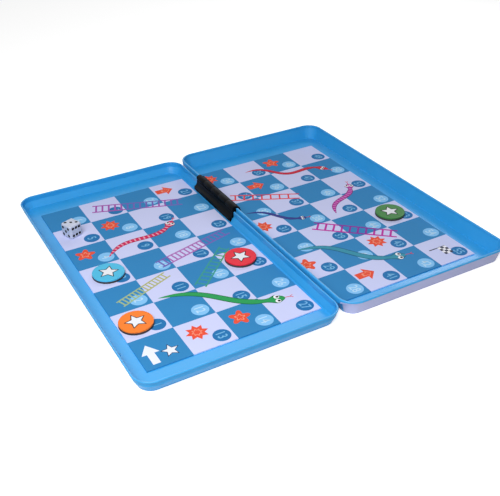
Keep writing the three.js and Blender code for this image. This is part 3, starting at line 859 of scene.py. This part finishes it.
class GAME_OT_badges(bpy.types.Operator):
    """Badges, start arrow and finish flag"""
    bl_idname = "travel_game.badges"
    bl_label = "Badges"

    def execute(self, context):
        inks = context.scene.travel_game.print
        film = inks.film
        red = drawn_ink("badge red", inks.badge, shade(inks.badge, 0.8)[:3], inks.badge)
        pale = plain_ink("badge pale", "#f59a80")
        outlines = [star(radius=5.6 * MM, points=8, depth=0.62), flower(radius=5.4 * MM, petals=5),
                    arrow(reach=6.2 * MM, half_width=5.2 * MM, shaft=0.45)]
        for half, squares in BADGES.items():
            parts = []
            for order, (column, row) in enumerate(squares):
                centre = board_place(half, column + BADGE_PLACE[0], row + BADGE_PLACE[1])
                for level, (scale, slot) in enumerate(BADGE_LAYERS):
                    points, faces, pattern = polar_film(outlines[order % 3] * scale, centre,
                                                        board_top(half) + level * film, film)
                    # Patterns of 0.5 keep the ink's darker line away
                    parts.append((points, faces, slot, np.full_like(pattern, 0.5)))
            make_piece(half + "_badges", parts, [red, pale], half)
        self.mark_start(film)
        self.mark_finish(film)
        return {"FINISHED"}

    def mark_start(self, film):
        """White arrow towards the first square, and a white star."""
        top = board_top("lid")
        arrow_place, star_place = board_place("lid", 0.27, 0.52), board_place("lid", 0.66, 0.36)
        outline = arrow(reach=8 * MM, half_width=4.2 * MM, shaft=0.42, turned=math.pi / 2)
        way = polar_film(outline, arrow_place, top, film)
        stars = lined_star(star_place, top, film, radii=(4.6 * MM, 3.8 * MM), depths=(0.45, 0.45), turned=0.3)
        inks = [plain_ink("start white", "#e9edfb"), plain_ink("start dark", "#2a2f45")]
        make_piece("start_marks", [(*way[:2], 0), *stars], inks, "lid")

    def mark_finish(self, film):
        """Small chequered flag on a pole, 4 by 3 squares."""
        top = board_top("base")
        foot = board_place("base", 3.16, 0.62)
        check, pole_height, cloth_foot, pole_half_width = 1.7 * MM, 10.4 * MM, 6.2 * MM, 0.35 * MM
        column, row = np.meshgrid(np.arange(4), np.arange(3))
        corner = foot + np.stack([cloth_foot + check * row.ravel(), -check * column.ravel()], -1)
        cloth, squares = bars(corner, corner - (0, check), np.full(column.size, check / 2), top + film, film)
        odd = np.repeat((column + row).ravel() % 2, len(squares) // column.size).astype(bool)
        pole = bars([foot], [foot + (pole_height, 0)], [pole_half_width], top, film)
        parts = [(*pole, 0), (cloth, squares[odd], 0), (cloth, squares[~odd], 1)]
        inks = [plain_ink("finish dark", "#3a3d52"), plain_ink("finish pale", "#f4f4fb")]
        make_piece("finish_flag", parts, inks, "base")


# Hinge

# Faces that meet at less than the first angle are one face, and edges over the second are rounded
FLAT_ANGLE, ROUNDED_ANGLE = math.radians(1), math.radians(40)


class GAME_OT_hinge(bpy.types.Operator):
    """Black plastic hinge leaves with rounded moulded edges, and the steel pin"""
    bl_idname = "travel_game.hinge"
    bl_label = "Hinge"

    def execute(self, context):
        hinge = context.scene.travel_game.hinge
        # ABS, injection moulded in a finely sparked mould: near black, satin, with a 0.2 mm grain
        plastic = plain_finish("Moulded black ABS", hinge.plastic, roughness=0.42, grain_size=0.2 * MM,
                               grain_depth=0.006 * MM, spread=0.2, values={"Specular IOR Level": 0.06})
        # Steel wire, drawn bright: a metal with a faint grain of 0.15 mm
        steel = plain_finish("Drawn steel wire", linear("#b9bcc0"), roughness=0.28, grain_size=0.15 * MM,
                             grain_depth=0.003 * MM, spread=0.05, values={"Metallic": 1.0})
        set_material(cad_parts["hinge_pin"].data, steel)
        for node, body in (("hinge_lid_leaf", "lid"), ("hinge_base_leaf", "base")):
            shape = bmesh.new()
            shape.from_mesh(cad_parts[node].data)
            bmesh.ops.remove_doubles(shape, verts=shape.verts, dist=2 * WELD)
            bmesh.ops.dissolve_limit(shape, angle_limit=FLAT_ANGLE, verts=shape.verts, edges=shape.edges)
            mesh = bpy.data.meshes.new(node + "_moulding")
            shape.to_mesh(mesh)
            shape.free()
            set_material(mesh, plastic)
            piece = add_object(node + "_moulding", mesh)
            rounding = piece.modifiers.new("Edges", "BEVEL")
            rounding.width = hinge.edge
            rounding.segments = 3
            rounding.limit_method = "ANGLE"
            rounding.angle_limit = ROUNDED_ANGLE
            rounding.use_clamp_overlap = True
            finish_shape(piece, sharp=50)
            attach(piece, body)
            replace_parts(piece, node)
        return {"FINISHED"}


# Counters and die

COUNTERS = ("orange", "light_blue", "red", "green")
MAGNET_EDGE, LABEL_EDGE, MAGNET_LIFT = 0.15 * MM, 0.12 * MM, 0.01 * MM
FIRST_STAR_TURN, NEXT_STAR_TURN = 0.4, 0.7
EDGE_STEPS, TOP_STEPS = 6, 10


def turned(profile, centre, steps=96):
    """Profile (r, z) turned about the upright axis: (x + r cos t, y + r sin t, z)."""
    points = np.zeros((len(profile), steps, 3))
    points[..., :2] = centre + profile[:, :1, None] * directions(even_turns(steps))
    points[..., 2] = profile[:, 1:]
    return points, grid_quads(len(profile), steps)


def rounded_disc(low, high, radius, edge):
    """Half section of a disc from the middle underneath round the edge to the middle on top. Both rims are
    quarter circles of the edge radius."""
    turn = np.linspace(0, math.pi / 2, EDGE_STEPS)
    lower = np.stack([radius - edge + edge * np.sin(turn), low + edge - edge * np.cos(turn)], -1)
    upper = np.stack([radius - edge + edge * np.cos(turn), high - edge + edge * np.sin(turn)], -1)
    inward = np.linspace(radius - edge, 0, TOP_STEPS)[1:]
    return np.concatenate([[(0, low)], lower, upper, np.stack([inward, np.full_like(inward, high)], -1)])


class GAME_OT_counters(bpy.types.Operator):
    """Four counters: a magnet disc, a printed face and a star on it"""
    bl_idname = "travel_game.counters"
    bl_label = "Counters"

    def execute(self, context):
        game = context.scene.travel_game
        film = game.print.film
        # Ferrite rubber, punched from sheet: matt, near black, with a 0.3 mm grain
        magnet = plain_finish("Punched magnet rubber", game.pieces.magnet, roughness=0.7,
                              grain_size=0.3 * MM, grain_depth=0.02 * MM, spread=0.2)
        inks = [plain_ink("counter white", "#eef0f6"), plain_ink("counter black", "#1b1c24")]
        for order, name in enumerate(COUNTERS):
            body = "counter_" + name
            # Printed polypropylene label: bright, smooth and softly glossy
            face = plain_finish("Printed label, " + name, getattr(game.pieces, name), roughness=0.35,
                                grain_size=0.4 * MM, grain_depth=0.005 * MM,
                                values={"Specular IOR Level": 0.1})
            low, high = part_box(body + "_magnet")
            centre = ((low.x + high.x) / 2, (low.y + high.y) / 2)
            split = high.z - game.pieces.lap
            profile = rounded_disc(low.z + MAGNET_LIFT, split, (high.x - low.x) / 2, MAGNET_EDGE)
            disc = make_piece(body + "_disc", [(*turned(profile, centre), 0)], [magnet], body)
            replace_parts(disc, body + "_magnet")
            low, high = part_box(body + "_face")
            profile = rounded_disc(split, high.z, (high.x - low.x) / 2, LABEL_EDGE)
            label = make_piece(body + "_label", [(*turned(profile, centre), 0)], [face], body)
            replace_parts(label, body + "_face")
            stars = lined_star(centre, high.z, film, radii=(5.6 * MM, 4.7 * MM), depths=(0.5, 0.47),
                               turned=FIRST_STAR_TURN + order * NEXT_STAR_TURN)
            make_piece(body + "_star", stars, inks, body)
        return {"FINISHED"}


PIPS = {
    1: [(0, 0)],
    2: [(-1, 1), (1, -1)],
    3: [(-1, 1), (0, 0), (1, -1)],
    4: [(-1, 1), (1, -1), (-1, -1), (1, 1)],
    5: [(-1, 1), (1, -1), (-1, -1), (1, 1), (0, 0)],
    6: [(-1, 1), (0, 1), (1, 1), (-1, -1), (0, -1), (1, -1)],
}

# For each number, the way its face looks and the way its pips are counted across
PIP_FACES = {1: ((0, 1, 0), (1, 0, 0)), 2: ((1, 0, 0), (0, 1, 0)), 3: ((0, 0, 1), (1, 0, 0)),
             4: ((0, 0, -1), (1, 0, 0)), 5: ((-1, 0, 0), (0, 1, 0)), 6: ((0, -1, 0), (1, 0, 0))}
PIP_RADIUS, PIP_SPACING_SHARE = 0.85 * MM, 0.26
DIE_ROUNDING, DIE_DEGREES, DIE_STEPS = 1.25 * MM, 22, 49


def die_face(number, size, depth):
    """One face's share of a rounded cube: q on the flat cube face, q' = q clamped to the inner cube, and the
    point is q' + rounding (q - q') / |q - q'|, less the pip's depth (1 - k^2), k its distance over the pip's
    radius. The grid's lines lie at sin t, closer together towards the edges."""
    facing, across = (np.array(v, float) for v in PIP_FACES[number])
    up = np.cross(facing, across)
    bend = 0.9 * math.pi / 2
    span = np.sin(np.linspace(-bend, bend, DIE_STEPS)) / math.sin(bend) * size / 2
    u, v = np.meshgrid(span, span, indexing="ij")
    flat = facing * size / 2 + u[..., None] * across + v[..., None] * up
    inner = np.clip(flat, -size / 2 + DIE_ROUNDING, size / 2 - DIE_ROUNDING)
    out = flat - inner
    points = inner + DIE_ROUNDING * out / np.linalg.norm(out, axis=-1)[..., None]
    places = np.array(PIPS[number]) * PIP_SPACING_SHARE * size
    reach = np.hypot(u[..., None] - places[:, 0], v[..., None] - places[:, 1]).min(-1) / PIP_RADIUS
    points -= facing * (depth * np.clip(1 - reach ** 2, 0, 1))[..., None]
    pattern = np.stack([np.clip(reach, 0, 2), np.zeros_like(reach)], -1).reshape(-1, 2)
    return points.reshape(-1, 3), grid_quads(DIE_STEPS, DIE_STEPS, wrap=False), pattern


class GAME_OT_die(bpy.types.Operator):
    """White die with black pips"""
    bl_idname = "travel_game.die"
    bl_label = "Die"

    def execute(self, context):
        pieces = context.scene.travel_game.pieces
        low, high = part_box("die")
        turn = np.array(Matrix.Rotation(math.radians(DIE_DEGREES), 3, "Z"))
        centre = np.array((low + high) / 2)
        parts = []
        for number in PIPS:
            points, faces, pattern = die_face(number, high.z - low.z, pieces.pip)
            parts.append((points @ turn.T + centre, faces, 0, pattern))
        plastic = moulded_die("Tumbled white urea plastic", pieces.die, linear("#050508"))
        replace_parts(make_piece("die_cube", parts, [plastic], "die", sharp=60), "die")
        return {"FINISHED"}


# Stage

LAMPS = {
    # place and size in metres; each lamp looks at the origin
    "front": ("Front lamp", (-0.20, -0.21, 0.33), (0.3, 0.3)),
    "back": ("Back lamp", (0.337, 0.662, 0.669), (0.5, 0.25)),
    "right": ("Right lamp", (0.38, 0.22, 0.28), (0.12, 0.12)),
}

# The floor: its depth under the case, how far it reaches, and its glow to the camera and in reflections
FLOOR_DROP, FLOOR_REACH, FLOOR_STEPS = 0.05 * MM, 4, 9
SEEN_GLOW, MIRRORED_GLOW = 0.65, 0.1

# The photograph's view: where the camera stands, its right, up and back directions, and its lens in mm
CAMERA_PLACE = (-0.172728, -0.317580, 0.218834)
CAMERA_TURN = ((0.87212692, -0.48895625, -0.01778805), (0.27409456, 0.45812722, 0.84557177),
               (-0.40529841, -0.74232152, 0.53356533))
CAMERA_LENS, CAMERA_SENSOR = 55.908, 36


class GAME_OT_stage(bpy.types.Operator):
    """Pale floor, soft lamps, surround and camera"""
    bl_idname = "travel_game.stage"
    bl_label = "Stage"

    def execute(self, context):
        stage = context.scene.travel_game.stage
        self.lay_floor(stage)
        for key, lamp in LAMPS.items():
            self.hang_lamp(*lamp, getattr(stage, key))
        self.light_surround(context, stage)
        self.place_camera(context)
        context.scene.view_settings.view_transform = "Standard"
        return {"FINISHED"}

    def lay_floor(self, stage):
        """Level floor just under the case, a flat grid. The camera sees it white but for the shadow."""
        material, tree, place = new_material("White paper floor")
        grain = add_node(tree, "ShaderNodeTexNoise", {"Vector": place, "Scale": 1 / (2 * MM)})
        bump = add_node(tree, "ShaderNodeBump", {"Height": grain, "Distance": 0.01 * MM})
        paper = add_node(tree, "ShaderNodeBsdfDiffuse", {"Color": (*stage.floor, 1), "Normal": bump})
        camera, mirrored = self.seen_rays(tree)
        faint = add_node(tree, "ShaderNodeMath", {0: mirrored, 1: MIRRORED_GLOW}, operation="MULTIPLY")
        strength = add_node(tree, "ShaderNodeMath", {0: camera, 1: SEEN_GLOW, 2: faint},
                            operation="MULTIPLY_ADD")
        glow = add_node(tree, "ShaderNodeEmission", {"Color": WHITE, "Strength": strength})
        both = add_node(tree, "ShaderNodeAddShader", {0: paper, 1: glow})
        add_node(tree, "ShaderNodeOutputMaterial", {"Surface": both})
        span = np.linspace(-FLOOR_REACH, FLOOR_REACH, FLOOR_STEPS)
        x, y = np.meshgrid(span, span, indexing="ij")
        points = np.stack([x, y, np.full_like(x, -FLOOR_DROP)], -1).reshape(-1, 3)
        quads = grid_quads(FLOOR_STEPS, FLOOR_STEPS, wrap=False)[:, ::-1]
        mesh = bpy.data.meshes.new("floor")
        mesh.from_pydata(points.tolist(), [], quads.tolist())
        mesh.materials.append(material)
        floor = add_object("floor", mesh)

    def hang_lamp(self, name, place, size, power):
        """Rectangular lamp that looks at the origin."""
        lamp = bpy.data.lights.new(name, "AREA")
        lamp.shape = "RECTANGLE"
        lamp.size, lamp.size_y = size
        lamp.energy = power
        holder = add_object(name, lamp)
        holder.location = place
        holder.rotation_euler = Vector(place).to_track_quat("Z", "Y").to_euler()

    def seen_rays(self, tree):
        """Sockets that are 1 for the camera's rays, and for those in reflections or through glass."""
        camera = add_node(tree, "ShaderNodeLightPath", output="Is Camera Ray")
        rays = camera.node.outputs
        mirrored = add_node(tree, "ShaderNodeMath",
                            {0: rays["Is Glossy Ray"], 1: rays["Is Transmission Ray"]}, operation="MAXIMUM")
        return camera, mirrored

    def light_surround(self, context, stage):
        """White to the camera and in reflections, and a softer grey as the light that falls on the case."""
        world = bpy.data.worlds.new("Surround")
        context.scene.world = world
        world.use_nodes = True
        tree = world.node_tree
        tree.nodes.clear()
        camera, mirrored = self.seen_rays(tree)
        seen = add_node(tree, "ShaderNodeMath", {0: camera, 1: mirrored}, operation="MAXIMUM")
        soft = add_node(tree, "ShaderNodeBackground", {"Color": WHITE, "Strength": stage.fill})
        white = add_node(tree, "ShaderNodeBackground", {"Color": WHITE, "Strength": 1.0})
        both = add_node(tree, "ShaderNodeMixShader", {0: seen, 1: soft, 2: white})
        add_node(tree, "ShaderNodeOutputWorld", {"Surface": both})

    def place_camera(self, context):
        """The photograph's view."""
        camera = bpy.data.cameras.new("Camera")
        camera.sensor_fit = "HORIZONTAL"
        camera.sensor_width = CAMERA_SENSOR
        camera.lens = CAMERA_LENS
        holder = add_object("Camera", camera)
        turn = Matrix(CAMERA_TURN).transposed().to_4x4()
        holder.matrix_world = Matrix.Translation(CAMERA_PLACE) @ turn
        context.scene.camera = holder


OPERATORS = (GAME_OT_lid_tray, GAME_OT_base_tray, GAME_OT_board_sheets, GAME_OT_numbers, GAME_OT_snakes,
             GAME_OT_ladders, GAME_OT_badges, GAME_OT_hinge, GAME_OT_counters, GAME_OT_die, GAME_OT_stage)


class GAME_PT_panel(bpy.types.Panel):
    """Lists the pieces and the settings that they are made from"""
    bl_idname = "GAME_PT_panel"
    bl_label = "Travel Game"
    bl_space_type = "VIEW_3D"
    bl_region_type = "UI"
    bl_category = "Travel Game"

    def draw(self, context):
        game = context.scene.travel_game
        for operator in OPERATORS:
            self.layout.operator(operator.bl_idname)
        for group in game.__annotations__:
            box = self.layout.box()
            settings = getattr(game, group)
            for key in settings.__annotations__:
                box.prop(settings, key)


CLASSES = (LidTraySettings, BaseTraySettings, TinSettings, PrintSettings, PieceSettings, HingeSettings,
           StageSettings, GameSettings, *OPERATORS, GAME_PT_panel)


def register():
    for item in CLASSES:
        bpy.utils.register_class(item)
    bpy.types.Scene.travel_game = PointerProperty(type=GameSettings)


def unregister():
    del bpy.types.Scene.travel_game
    for item in reversed(CLASSES):
        bpy.utils.unregister_class(item)


def main():
    register()
    for operator in OPERATORS:
        group, name = operator.bl_idname.split(".")
        getattr(getattr(bpy.ops, group), name)()


if __name__ == "__main__":
    main()
